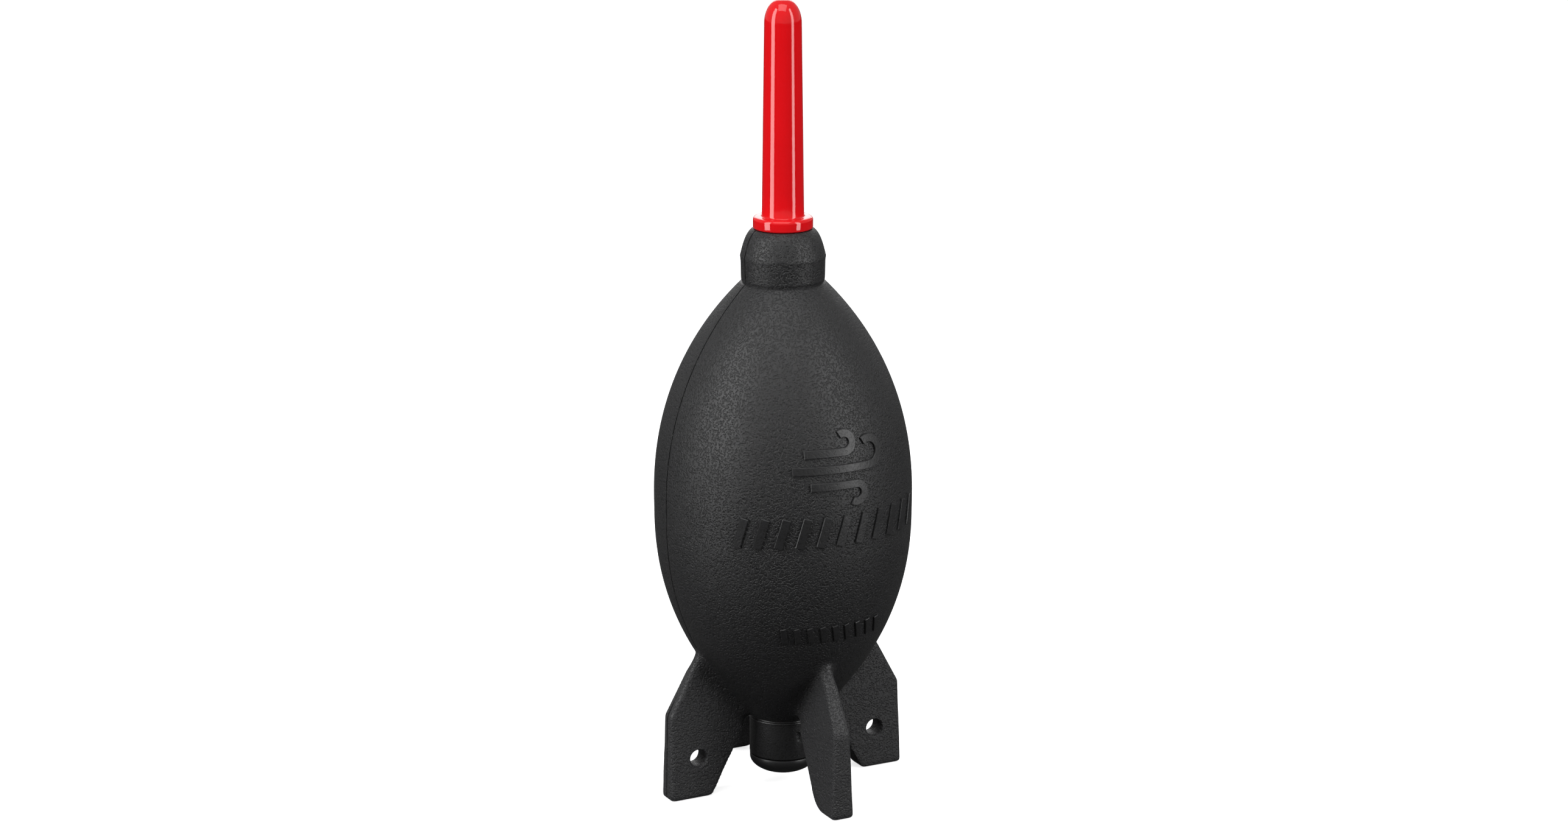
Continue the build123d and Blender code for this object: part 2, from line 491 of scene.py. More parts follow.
@dataclass(frozen=True)
class MouldedRubber:
    """Black moulded rubber with the grain that an etched steel mould leaves.

    Carbon black makes it almost black and matt. The etching gives it fine worm-like pits in a
    flatter, faintly shining skin; the pits' darker colour is painted shade. It is duller in
    patches where hands and mould spray have been. Raised strokes and the tail boss are cut smooth
    in the mould, so they are the same rubber with next to no grain. On the fins that it stands on
    the grain is deeper and rougher, and the paler colour there is painted light.
    """

    name: str
    grain_depth: float           # mm
    # The pits' darker colour is painted shade in the grain's recesses.
    pit_shade_colour: str = "#101010"
    skin_colour: str = "#1d1d1e"
    # The fins' paler colour is painted light, to make them look more brightly lit.
    fin_painted_light_colour: str = "#2d2d2e"
    scuffed_depth: float = 1.5   # how much deeper the grain is on the fins
    roughness: float = 0.45
    ior: float = 1.52
    pit: float = 0.46            # mm from pit to pit
    tooth: float = 0.20          # mm, the finer texture of the skin between them
    patch: float = 15.0          # mm, the dull patches

    def build(self) -> Material:
        """Make the material."""
        material, output = new_material(self.name)
        worms = add_noise(material, self.pit, Detail=1.5, Roughness=0.5, Distortion=0.4)
        tooth = add_noise(material, self.tooth, Detail=1.0)
        patches = add_noise(material, self.patch, Detail=3.0, Roughness=0.6)
        skin = add_range(
            material,
            worms.outputs["Fac"],
            {"interpolation_type": "SMOOTHSTEP", "From Min": 0.33, "From Max": 0.54},
        )
        relief = {0: tooth.outputs["Fac"], 2: skin}
        height = add_node(material, "Math", {"operation": "MULTIPLY_ADD", 1: 0.45}, relief)
        fin_light_and_grain = add_node(material, "Attribute", {"attribute_name": FIN_LIGHT_AND_GRAIN}).outputs["Fac"]
        depths = {"To Min": mm(self.grain_depth), "To Max": mm(self.grain_depth * self.scuffed_depth)}
        depth = add_range(material, fin_light_and_grain, depths)
        grain = {"Height": height.outputs[0], "Distance": depth}
        bump = add_node(material, "Bump", {"Strength": 1.0}, grain)
        # Pits painted darker than the skin: painted shade in the grain's recesses.
        skin_and_pit_shade = add_mix(material, skin, self.pit_shade_colour, self.skin_colour)
        # Fins painted paler: painted light.
        colour = add_mix(material, fin_light_and_grain, skin_and_pit_shade, self.fin_painted_light_colour)
        spread = {"To Min": self.roughness - 0.05, "To Max": self.roughness + 0.07}
        spread |= {"From Min": 0.3, "From Max": 0.7}
        roughness = add_range(material, patches.outputs["Fac"], spread)
        inputs = {"Base Color": colour, "Roughness": roughness, "Normal": bump.outputs[0]}
        shader = add_node(material, "BsdfPrincipled", {"IOR": self.ior, "Metallic": 0.0}, inputs)
        material.node_tree.links.new(shader.outputs[0], output.inputs["Surface"])
        return material


@dataclass(frozen=True)
class MouldedPlastic:
    """Injection-moulded plastic: a clean skin with the faint waviness of its mould.

    The gloss one reflects soft boxes as sharp strips. The satin one only glows along edges.
    """

    name: str
    colour: str
    shade: str
    roughness: float
    ior: float = 1.53
    subsurface: float = 0.0      # mm that light goes into the plastic
    wave: float = 9.0            # mm between the mould's soft waves
    wave_depth: float = 0.01     # mm
    fine: float = 0.35           # mm, the fine texture
    fine_depth: float = 0.0      # mm

    def build(self) -> Material:
        """Make the material."""
        material, output = new_material(self.name)
        waves = add_noise(material, self.wave, Detail=1.0)
        fine = add_noise(material, self.fine, Detail=2.0)
        soft = add_node(
            material,
            "Bump",
            {"Strength": 1.0, "Distance": mm(self.wave_depth)},
            {"Height": waves.outputs["Fac"]},
        )
        bump = add_node(
            material,
            "Bump",
            {"Strength": 1.0, "Distance": mm(self.fine_depth)},
            {"Height": fine.outputs["Fac"], "Normal": soft.outputs[0]},
        )
        colour = add_mix(material, waves.outputs["Fac"], self.colour, self.shade)
        spread = {"To Min": self.roughness * 0.85, "To Max": self.roughness * 1.2}
        roughness = add_range(material, fine.outputs["Fac"], spread)
        body = {
            "IOR": self.ior,
            "Metallic": 0.0,
            "Subsurface Weight": 0.25 if self.subsurface else 0.0,
            "Subsurface Radius": (1.0, 0.25, 0.2),
            "Subsurface Scale": mm(self.subsurface),
        }
        inputs = {"Base Color": colour, "Roughness": roughness, "Normal": bump.outputs[0]}
        shader = add_node(material, "BsdfPrincipled", body, inputs)
        material.node_tree.links.new(shader.outputs[0], output.inputs["Surface"])
        return material


def dress(piece: Piece, material: Material) -> None:
    """Give a piece one material all over."""
    piece.data.materials.clear()
    piece.data.materials.append(material)


# ---------------------------------------------------------------- the bulb


@dataclass
class Bulb:
    """The rubber moulding: egg, neck, tail boss, four fins, raised decoration and bores."""

    boss_bottom_z: float = 7.5
    boss_top_z: float = 17.2
    boss_r: float = 8.1
    belly_r: float = 30.7
    belly_z: float = 68.5
    crease_r: float = 9.9
    crease_z: float = 124.0
    neck_top_z: float = 136.5
    neck_top_r: float = 7.2
    neck_ridge_r: float = 10.1
    neck_lip: float = 0.14       # how far the ridge stands out over the neck below it
    neck_ridge_z: float = 130.1
    neck_bore_r: float = 4.6
    boss_bore_r: float = 5.5
    wall: float = 2.8
    parting_depth: float = 0.34
    parting_width: float = 0.36
    gate_scar_z: float = 13.4
    cavity_bottom_z: float = 22.0
    cavity_middle_z: float = 71.5
    cavity_top_z: float = 121.0
    tail_handle: float = 25.0        # lengths of the side curve's handles, from tail to neck
    low_belly_handle: float = 16.9
    high_belly_handle: float = 6.6
    neck_handle: float = 32.2
    flank_turn: float = 45.0         # degrees that the side leans at both ends
    curve_points: int = 48           # on each half of the side
    round_steps: int = 256
    voxel: float = 0.45

    def side_curve(self) -> Outline:
        """The egg's side from the boss to the crease."""
        across, up = cos(radians(self.flank_turn)), sin(radians(self.flank_turn))
        tail, neck = self.tail_handle, self.neck_handle
        lower = bezier(
            [
                (self.boss_r, self.boss_top_z),
                (self.boss_r + tail * across, self.boss_top_z + tail * up),
                (self.belly_r, self.belly_z - self.low_belly_handle),
                (self.belly_r, self.belly_z),
            ],
            self.curve_points,
        )
        upper = bezier(
            [
                (self.belly_r, self.belly_z),
                (self.belly_r, self.belly_z + self.high_belly_handle),
                (self.crease_r + neck * across, self.crease_z - neck * up),
                (self.crease_r, self.crease_z),
            ],
            self.curve_points,
        )
        return lower + upper[1:]

    def radius_at(self, height: np.ndarray) -> np.ndarray:
        """The egg's radius at some heights, all in millimetres."""
        curve = np.array(self.side_curve())
        return np.interp(height, curve[:, 1], curve[:, 0])

    def build_egg(self) -> Piece:
        """The egg alone, closed at both ends."""
        outline = [(0.0, self.boss_top_z)] + self.side_curve() + [(0.0, self.crease_z)]
        return lathe("egg", outline, self.round_steps)

    def neck_shoulder(self) -> Outline:
        """The neck's upper part, from its ridge in to the collar's seat."""
        return bezier(
            [
                (self.neck_ridge_r - 0.02, self.neck_ridge_z + 0.08),
                (self.neck_ridge_r - 0.48, self.neck_ridge_z + 1.9),
                (self.neck_top_r + 1.75, self.neck_top_z - 1.05),
                (self.neck_top_r, self.neck_top_z),
            ],
            12,
        )

    def build_neck(self) -> Piece:
        """The neck: a ridge ring that leans in to the collar in one round shoulder."""
        outline = [
            (0.0, self.crease_z - 2.0),
            (self.crease_r - 0.35, self.crease_z - 2.0),
            (self.crease_r - 0.28, self.crease_z + 0.1),
            (self.crease_r - 0.08, self.crease_z + 0.45),
            (self.crease_r - 0.02, self.crease_z + 1.0),
            (self.neck_ridge_r - self.neck_lip, self.neck_ridge_z - 1.3),
            (self.neck_ridge_r - self.neck_lip / 2, self.neck_ridge_z - 0.5),
            (self.neck_ridge_r, self.neck_ridge_z - 0.06),
        ]
        shoulder = self.neck_shoulder()
        return lathe("neck", outline + shoulder + [(0.0, self.neck_top_z)], self.round_steps)

    def build_boss(self) -> Piece:
        """The round tail boss, with the thin lip of flash at its root."""
        lip_r = self.boss_r + 0.32
        edge = 0.35
        outline = [(0.0, self.boss_bottom_z)]
        outline += arc((self.boss_r - edge, self.boss_bottom_z + edge), edge, 270, 360, 5)
        outline += [
            (self.boss_r, self.boss_top_z - 0.75),
            (lip_r - 0.08, self.boss_top_z - 0.62),
            (lip_r, self.boss_top_z - 0.45),
            (lip_r - 0.08, self.boss_top_z - 0.25),
            (self.boss_r, self.boss_top_z - 0.1),
            (self.boss_r - 0.5, self.boss_top_z + 1.5),
            (0.0, self.boss_top_z + 1.5),
        ]
        return lathe("boss", outline, self.round_steps // 2)

    def build_gate_scar(self) -> Piece:
        """The shallow oval dent where the rubber was injected, to cut out of the boss's front."""
        piece = lathe("gate_scar", [(0, -0.5), (0.5, -0.4), (0.8, 0), (0.5, 0.4), (0, 0.5)], 24)
        place = (0.0, -self.boss_r - 0.1, self.gate_scar_z)
        settle(piece, place, tip=90, stretch=(1.0, 1.8, 1.0))
        return piece

    def build_core(self) -> Piece:
        """What is hollow: the tail bore, the air chamber and the neck bore, in one solid."""
        cavity_r = self.belly_r - self.wall
        drop = self.cavity_middle_z - self.cavity_bottom_z
        rise = self.cavity_top_z - self.cavity_middle_z
        steps = 24
        lower, upper = [], []
        for i in range(steps + 1):
            turn = radians(90 * i / steps)
            lower.append((cavity_r * sin(turn), self.cavity_middle_z - drop * cos(turn)))
            upper.append((cavity_r * cos(turn), self.cavity_middle_z + rise * sin(turn)))
        wide = [p for p in lower if p[0] > self.boss_bore_r + 0.5]
        narrow = [p for p in upper[1:] if p[0] > self.neck_bore_r + 0.5]
        outline = [
            (0.0, self.boss_bottom_z - 1.0),
            (self.boss_bore_r + 0.9, self.boss_bottom_z - 1.0),
            (self.boss_bore_r + 0.3, self.boss_bottom_z + 0.3),
            (self.boss_bore_r, self.boss_bottom_z + 0.6),
            (self.boss_bore_r, wide[0][1]),
        ]
        outline += wide + narrow
        outline += [
            (self.neck_bore_r, narrow[-1][1] + 0.6),
            (self.neck_bore_r, self.neck_top_z - 0.5),
            (self.neck_bore_r + 0.7, self.neck_top_z + 0.6),
            (0.0, self.neck_top_z + 0.6),
        ]
        return lathe("core", outline, 128)

    def build_parting_cutter(self, fin: "Fin") -> Piece:
        """A thin blade that scores the parting line down one side of the moulding.

        Args:
            fin: the fin that lies in the parting plane on that side.

        Returns:
            The blade, its inner edge a line's depth inside the neck, the egg and the fin.
        """
        depth = self.parting_depth
        fin_edge = fin.outline()[1:4]
        junction_z = fin.junction_z(self)
        scored = [(fin_edge[0][0] - depth, -1.0), (fin_edge[1][0] - depth, fin_edge[1][1])]
        scored += [(r - depth, z) for r, z in self.side_curve() if z > junction_z]
        scored[-1] = (self.crease_r - depth, self.crease_z)
        scored += [(self.neck_ridge_r - depth, self.neck_ridge_z)]
        scored += [(r - depth, z) for r, z in self.neck_shoulder()[2:]]
        outside = [
            (self.neck_top_r - depth, self.neck_top_z + 1.0),
            (self.neck_ridge_r + 6.0, self.neck_top_z + 1.0),
            (self.belly_r + 6.0, self.belly_z),
            (self.belly_r + 6.0, -1.0),
        ]
        blade = plate(f"parting_{fin.direction.name.lower()}", scored + outside, self.parting_width)
        settle(blade, turn=fin.direction.value)
        return blade


@dataclass
class Fin:
    """One fin of the moulding, a plate that thins towards its root."""

    direction: FinDirection
    foot_r: float = 31.3
    shoulder_r: float = 30.9
    shoulder_z: float = 21.0
    lean: float = 28.2           # degrees, edge above the shoulder
    inner_lean: float = 29.5     # degrees, inner edge
    root_z: float = 40.0
    foot_thickness: float = 5.8
    root_thickness: float = 2.6
    edge: float = 0.75           # rounding of the outer edges
    hole_out: float = 23.9
    hole_z: float = 10.0
    hole_r: float = 2.0
    worn_corner: float = 3.2     # rounding of the inner foot of the front and back fins

    @property
    def inner_foot_r(self) -> float:
        """The side fins' feet reach further in than the front and back ones."""
        return 20.6 if self.in_parting_plane else 22.2

    @property
    def in_parting_plane(self) -> bool:
        """Whether this is one of the two side fins."""
        return self.direction in (FinDirection.RIGHT, FinDirection.LEFT)

    def half_thickness(self, height: np.ndarray | float) -> np.ndarray | float:
        """Half the plate's thickness at a height, both in millimetres."""
        thinning = (self.foot_thickness - self.root_thickness) / self.root_z
        return (self.foot_thickness - thinning * height) / 2

    def junction_z(self, bulb: Bulb) -> float:
        """How high up its outer edge runs into the egg."""
        heights = np.linspace(self.shoulder_z, self.root_z, 96)
        edge = self.shoulder_r - (heights - self.shoulder_z) * tan(radians(self.lean))
        return float(heights[np.argmax(bulb.radius_at(heights) > edge)])

    def outline(self) -> Outline:
        """The plate's corners, as (out from the axis, up)."""
        root_r = self.shoulder_r - (self.root_z - self.shoulder_z) * tan(radians(self.lean))
        inner_root_z = 30.0
        inner_root_r = self.inner_foot_r - inner_root_z * tan(radians(self.inner_lean))
        return [
            (self.inner_foot_r, 0.0),
            (self.foot_r, 0.0),
            (self.shoulder_r, self.shoulder_z),
            (root_r, self.root_z),
            (4.0, self.root_z),
            (max(inner_root_r, 3.6), inner_root_z),
        ]

    def build(self) -> Piece:
        """The plate, tapered and with rounded edges, turned to where it points."""
        piece = plate(f"fin_{self.direction.name.lower()}", self.outline(), self.foot_thickness)
        enter_edit(piece, "EDGE")
        if not self.in_parting_plane:
            select_edges(piece, lambda a, b: max(a.x, b.x) < mm(25) and max(a.z, b.z) < mm(0.01))
            bpy.ops.mesh.bevel(offset=mm(self.worn_corner), segments=5, affect="EDGES")
        bpy.ops.mesh.select_mode(type="VERT")
        corners = bmesh.from_edit_mesh(piece.data).verts
        heights = {round(vertex.co.z * 1000, 3) for vertex in corners}
        for height in sorted(heights):
            select_vertices(piece, lambda co, z=height: abs(co.z - mm(z)) < mm(0.001))
            share = 2 * self.half_thickness(height) / self.foot_thickness
            bpy.ops.transform.resize(value=(1, share, 1), center_override=(0, 0, 0))
        bpy.ops.mesh.select_mode(type="EDGE")
        above_root = mm(self.root_z + 1)
        select_edges(piece, lambda a, b: min(a.x, b.x) > mm(5) and max(a.z, b.z) < above_root)
        bpy.ops.mesh.bevel(offset=mm(self.edge), segments=3, affect="EDGES")
        face_outward()
        leave_edit()
        settle(piece, turn=self.direction.value)
        return piece

    def build_hole(self) -> Piece:
        """The lanyard hole as a solid to cut away, wider at its two rounded mouths."""
        half = float(self.half_thickness(self.hole_z))
        upper = [
            (0.0, half + 0.6),
            (self.hole_r + 0.9, half + 0.6),
            (self.hole_r + 0.42, half),
            (self.hole_r + 0.12, half - 0.3),
            (self.hole_r, half - 0.6),
        ]
        piece = lathe("lanyard_hole", upper + [(r, -z) for r, z in reversed(upper)], 48)
        settle(piece, (self.hole_out, 0.0, self.hole_z), tip=90)
        settle(piece, turn=self.direction.value)
        return piece


@dataclass
class RaisedDecoration:
    """Plain raised shapes on the front of the bulb, drawn flat and laid on the egg.

    Three gusts of air with curled ends, a row of slanted grip ribs, and a short row of ticks.
    None of them is a letter or a mark.
    """

    bulb: Bulb
    stand: float = 0.46          # above the rubber
    sunk: float = 0.8            # below it
    soft: float = 0.12           # rounding of the top's rim
    gust_z: float = 85.8
    gust_width: float = 1.9
    rib_z: float = 71.0
    rib_height: float = 7.0
    rib_width: float = 2.0
    rib_pitch: float = 4.9
    rib_count: int = 11
    rib_slant: float = 16.0      # degrees
    tick_z: float = 45.0
    tick_height: float = 4.2
    tick_width: float = 1.3
    tick_pitch: float = 3.1
    tick_count: int = 9
    tick_slant: float = -16.0    # degrees

    def stroke(self, path: Outline, width: float) -> Piece:
        """A raised line of even width along a path, with flat ends and a soft rim.

        Args:
            path: points (along the bulb's front, up) in millimetres.
            width: in millimetres.

        Returns:
            The line, standing proud of the XZ plane towards -Y.
        """
        left, right = [], []
        for i, (across, up) in enumerate(path):
            before, after = path[max(i - 1, 0)], path[min(i + 1, len(path) - 1)]
            way = (after[0] - before[0], after[1] - before[1])
            half = width / 2 / hypot(*way)
            left.append((across - way[1] * half, up + way[0] * half))
            right.append((across + way[1] * half, up - way[0] * half))
        outline = left + right[::-1]
        piece = plate("stroke", outline, self.stand + self.sunk)
        enter_edit(piece, "EDGE")
        front = -(self.stand + self.sunk) / 2
        select_edges(piece, lambda a, b: max(a.y, b.y) < mm(front + 0.01))
        bpy.ops.mesh.bevel(offset=mm(self.soft), segments=1, affect="EDGES")
        bpy.ops.mesh.select_all(action="SELECT")
        bpy.ops.transform.translate(value=(0, mm((self.sunk - self.stand) / 2), 0))
        for axis in (0, 1):
            low = min(point[axis] for point in outline)
            high = max(point[axis] for point in outline)
            for i in range(1, int(high - low) + 1):
                cut = low + (high - low) * i / (int(high - low) + 1)
                place = (mm(cut), 0, 0) if axis == 0 else (0, 0, mm(cut))
                bpy.ops.mesh.select_all(action="SELECT")
                bpy.ops.mesh.bisect(plane_co=place, plane_no=(1 - axis, 0, axis))
        leave_edit()
        return piece

    def gust(self, start: Point, length: float, curl: float, turns_up: bool) -> Piece:
        """One gust of air: a level line with a curled end.

        Args:
            start: its free end, across and above the group's middle, in millimetres.
            length: of the level part, in millimetres.
            curl: radius of the curl, in millimetres.
            turns_up: whether it curls up or down.

        Returns:
            The raised line.
        """
        sign = 1 if turns_up else -1
        end = (start[0] + length, self.gust_z + start[1])
        path = [(start[0] + length * share / 4, end[1]) for share in range(4)]
        path += arc((end[0], end[1] + sign * curl), curl, -90 * sign, 125 * sign, 20)
        return self.stroke(path, self.gust_width)

    def row(
        self, z: float, count: int, pitch: float, size: Point, slant: float
    ) -> list[Piece]:
        """A row of slanted bars.

        Args:
            z: height of the row's middle, in millimetres.
            count: how many bars.
            pitch: from bar to bar, in millimetres.
            size: a bar's width and height, in millimetres.
            slant: degrees from upright.

        Returns:
            The bars.
        """
        bars = []
        for i in range(count):
            along = (i - (count - 1) / 2) * pitch
            lean = size[1] / 2 * tan(radians(slant))
            ends = [(along - lean, z - size[1] / 2), (along, z), (along + lean, z + size[1] / 2)]
            bars.append(self.stroke(ends, size[0]))
        return bars

    def lay_on_egg(self, piece: Piece) -> None:
        """Wrap a flat shape round the egg: across becomes arc length, and -Y becomes outwards."""
        flat = points_of(piece)
        radius = self.bulb.radius_at(flat[:, 2])
        turn = flat[:, 0] / radius
        out = radius - flat[:, 1]
        laid = np.stack([out * np.sin(turn), -out * np.cos(turn), flat[:, 2]], axis=1) / 1000.0
        piece.data.vertices.foreach_set("co", laid.ravel())
        piece.data.update()

    def build(self) -> Piece:
        """All the raised shapes, on the egg's front."""
        shapes = [
            self.gust((-9.0, 3.6), 10.0, 2.1, True),
            self.gust((-12.0, -0.2), 19.6, 3.0, True),
            self.gust((-8.0, -4.0), 11.5, 2.1, False),
        ]
        ribs = (self.rib_width, self.rib_height)
        ticks = (self.tick_width, self.tick_height)
        shapes += self.row(self.rib_z, self.rib_count, self.rib_pitch, ribs, self.rib_slant)
        shapes += self.row(self.tick_z, self.tick_count, self.tick_pitch, ticks, self.tick_slant)
        for shape in shapes:
            self.lay_on_egg(shape)
        return join("raised_decoration", shapes)


@dataclass
class Moulding:
    """Puts the bulb's shapes together to one skin and cuts it in two at the parting plane."""

    bulb: Bulb
    fins: list[Fin]
    decoration: RaisedDecoration
    grained: Material
    smooth: Material
    fillet: float = 4.6          # reach of the soft blend between fin and egg
    fillet_top_z: float = 37.0   # the fins' upper ends run into the egg without one
    fillet_fade: float = 8.0     # length over which it dies out below that
    fillet_bottom_z: float = 16.0
    fillet_inner_r: float = 8.6  # the tail boss's own root stays sharp
    fillet_fullness: float = 1.8
    egg_margin: float = 0.6      # how far out on a fin the deeper grain and the painted light, a paler colour, start
    fillet_rounds: int = 90
    evening_rounds: int = 3      # takes out the steps that the voxels leave on slanted edges
    squeeze_tilt: float = 9.9    # degrees that the pressed-in area leans up from the fins
    squeeze_start: float = 31.1  # from the axis along that lean, where the rubber starts to give
    squeeze_end: float = 44.1

    def blend_roots(self, piece: Piece) -> None:
        """Relax the skin where fins meet the egg, to the soft fillet of a moulding."""
        place = points_of(piece)
        height = place[:, 2]
        egg_gap = np.hypot(place[:, 0], place[:, 1]) - self.bulb.radius_at(height)
        levels = np.linspace(self.bulb.boss_top_z - 0.2, 60.0, 200)
        slope = np.gradient(self.bulb.radius_at(levels), levels[1] - levels[0])
        lean = np.cos(np.arctan(np.interp(height, levels, slope)))
        egg_gap = np.abs(egg_gap * lean)
        weight = np.zeros(len(place))
        for fin in self.fins:
            turn = radians(fin.direction.value)
            out = place[:, 0] * cos(turn) + place[:, 1] * sin(turn)
            across = np.abs(-place[:, 0] * sin(turn) + place[:, 1] * cos(turn))
            fin_gap = np.abs(across - fin.half_thickness(height))
            near = 1 - np.maximum(egg_gap, fin_gap) / self.fillet
            near[(out < self.fillet_inner_r) | (height < self.fillet_bottom_z)] = 0
            near = near * np.clip((self.fillet_top_z - height) / self.fillet_fade, 0, 1)
            weight = np.maximum(weight, np.clip(near, 0, 1))
        weight = np.clip(weight * self.fillet_fullness, 0, 1)
        group = piece.vertex_groups.new(name="fin_root")
        steps = 12
        for step in range(1, steps + 1):
            low, high = (step - 0.5) / steps, (step + 0.5) / steps
            chosen = np.nonzero((weight >= low) & (weight < high))[0]
            group.add([int(i) for i in chosen], step / steps, "REPLACE")
        rounds = self.fillet_rounds
        apply_modifier(piece, "SMOOTH", factor=0.5, iterations=rounds, vertex_group=group.name)
        piece.vertex_groups.clear()

    def build_skin(self) -> Piece:
        """The whole moulding as one closed skin."""
        shapes = [self.bulb.build_egg()] + [fin.build() for fin in self.fins]
        skin = join("skin", shapes)
        apply_modifier(skin, "REMESH", mode="VOXEL", voxel_size=mm(self.bulb.voxel))
        apply_modifier(skin, "SMOOTH", factor=0.5, iterations=self.evening_rounds)
        self.blend_roots(skin)
        log.info("egg and fins: %d faces", len(skin.data.polygons))
        side_fins = [fin for fin in self.fins if fin.in_parting_plane]
        blades = [self.bulb.build_parting_cutter(fin) for fin in side_fins]
        hollow = [self.bulb.build_core(), self.bulb.build_gate_scar()]
        hollow += [fin.build_hole() for fin in side_fins]
        self.finish(skin, False)
        combine(skin, self.finish(self.bulb.build_neck(), False), "UNION")
        combine(skin, self.finish(self.bulb.build_boss(), True), "UNION")
        combine(skin, self.finish(self.decoration.build(), True), "UNION")
        combine(skin, self.finish(join("parting", blades), False), "DIFFERENCE")
        combine(skin, self.finish(join("hollow", hollow), False), "DIFFERENCE")
        return skin

    def finish(self, piece: Piece, is_smooth: bool) -> Piece:
        """Give a shape both finishes in the same order, and all of its faces one of them."""
        dress(piece, self.grained)
        piece.data.materials.append(self.smooth)
        indices = np.full(len(piece.data.polygons), int(is_smooth), dtype=np.int32)
        piece.data.polygons.foreach_set("material_index", indices)
        return piece

    def mask_fin_light_and_grain(self, piece: Piece) -> None:
        """Store how far out on a fin each point lies, for the rubber's finish to read: it deepens the
        grain there and paints the fins paler, which is painted light.
        """
        place = points_of(piece)
        stands_out = np.hypot(place[:, 0], place[:, 1]) - self.bulb.radius_at(place[:, 2])
        share = np.clip((stands_out - self.egg_margin) / self.fillet, 0.0, 1.0)
        share[place[:, 2] > self.fins[0].root_z] = 0.0
        layer = piece.data.attributes.new(FIN_LIGHT_AND_GRAIN, "FLOAT", "POINT")
        layer.data.foreach_set("value", share.astype(np.float32))

    def build_half_space(self, side: Side) -> Piece:
        """A block that holds all that lies on one side of the parting plane."""
        deselect_all()
        reach = 100.0
        bpy.ops.mesh.primitive_cube_add(size=mm(reach))
        piece = bpy.context.object
        settle(piece, (0.0, side.value * reach / 2, 70.0), stretch=(1.0, 1.0, 2.0))
        return self.finish(piece, False)

    def half(self, skin: Piece, side: Side) -> Piece:
        """One half of the skin, on one side of the parting plane.

        Args:
            skin: the whole moulding, which is left as it is.
            side: which half to keep.

        Returns:
            The half, dressed.
        """
        piece = skin.copy()
        piece.data = skin.data.copy()
        bpy.context.collection.objects.link(piece)
        rename(piece, f"bulb_{side.name.lower()}_half")
        combine(piece, self.build_half_space(side), "INTERSECT")
        weld_slivers(piece)
        smooth_shading(piece)
        self.mask_fin_light_and_grain(piece)
        wall = f"squeeze_wall_{side.name.lower()}"
        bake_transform(piece)
        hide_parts("bulb", wall)
        return piece

    def build(self) -> list[Piece]:
        """Both halves."""
        skin = self.build_skin()
        halves = [self.half(skin, side) for side in Side]
        bpy.data.objects.remove(skin)
        for piece in halves:
            log.info("%s: %d faces", piece.name, len(piece.data.polygons))
        return halves


# ---------------------------------------------------------------- nozzle and valve


@dataclass
class Nozzle:
    """The glossy nozzle: ringed stem, collar and tapered tube with a round tip."""

    plastic: Material
    stem_bottom_z: float = 118.6
    stem_r: float = 4.15
    ring_r: float = 4.55
    ring_height: float = 3.0
    ring_pitch: float = 5.5
    ring_count: int = 3
    collar_z: float = 136.6
    collar_top_z: float = 139.4
    collar_r: float = 7.06
    collar_edge: float = 0.75
    collar_seat_edge: float = 0.4
    tube_base_r: float = 4.96
    tube_top_r: float = 4.35
    tip_z: float = 190.0
    tip_length: float = 5.3
    outlet_r: float = 0.75
    outlet_length: float = 4.0
    passage_base_r: float = 3.0
    passage_top_r: float = 2.95

    def outer(self) -> Outline:
        """The outside from the stem's end to the outlet."""
        edge, seat_edge = self.collar_edge, self.collar_seat_edge
        points: Outline = []
        for i in range(self.ring_count):
            low = self.stem_bottom_z + i * self.ring_pitch
            points += [
                (self.stem_r, low),
                (self.ring_r, low + 0.5),
                (self.ring_r, low + self.ring_height - 0.1),
                (self.stem_r, low + self.ring_height),
            ]
        points += [(self.stem_r, self.collar_z), (self.collar_r - seat_edge, self.collar_z)]
        points += arc((self.collar_r - seat_edge, self.collar_z + seat_edge), seat_edge, 285, 360, 5)
        points += arc((self.collar_r - edge, self.collar_top_z - edge), edge, 0, 88, 7)
        points += [(self.tube_base_r + 0.35, self.collar_top_z)]
        points += arc((self.tube_base_r + 0.35, self.collar_top_z + 0.35), 0.35, 268, 182, 5)
        shoulder_z = self.tip_z - self.tip_length
        for i in range(1, 8):
            share = i / 8
            radius = self.tube_base_r + (self.tube_top_r - self.tube_base_r) * share
            rise = (shoulder_z - self.collar_top_z) * share
            points.append((radius, self.collar_top_z + 0.4 + rise))
        points += bezier(
            [
                (self.tube_top_r, shoulder_z),
                (self.tube_top_r - 0.03, shoulder_z + 2.95),
                (self.outlet_r + 1.9, self.tip_z - 0.05),
                (self.outlet_r + 0.45, self.tip_z),
            ],
            20,
        )
        points += [(self.outlet_r + 0.12, self.tip_z - 0.06), (self.outlet_r, self.tip_z - 0.25)]
        return points

    def inner(self) -> Outline:
        """The air passage from the outlet back to the stem's end."""
        throat_z = self.tip_z - self.outlet_length
        return [
            (self.outlet_r, throat_z),
            (self.passage_top_r, throat_z - self.passage_top_r),
            (self.passage_base_r, self.stem_bottom_z),
            (self.stem_r, self.stem_bottom_z),
        ]

    def build(self) -> Piece:
        """The nozzle, in the place of its CAD node."""
        piece = lathe("nozzle_moulding", self.outer() + self.inner(), 128)
        smooth_shading(piece, 40)
        dress(piece, self.plastic)
        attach(piece, BODY_NOZZLE)
        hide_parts("nozzle")
        log.info("%s: %d faces", piece.name, len(piece.data.polygons))
        return piece


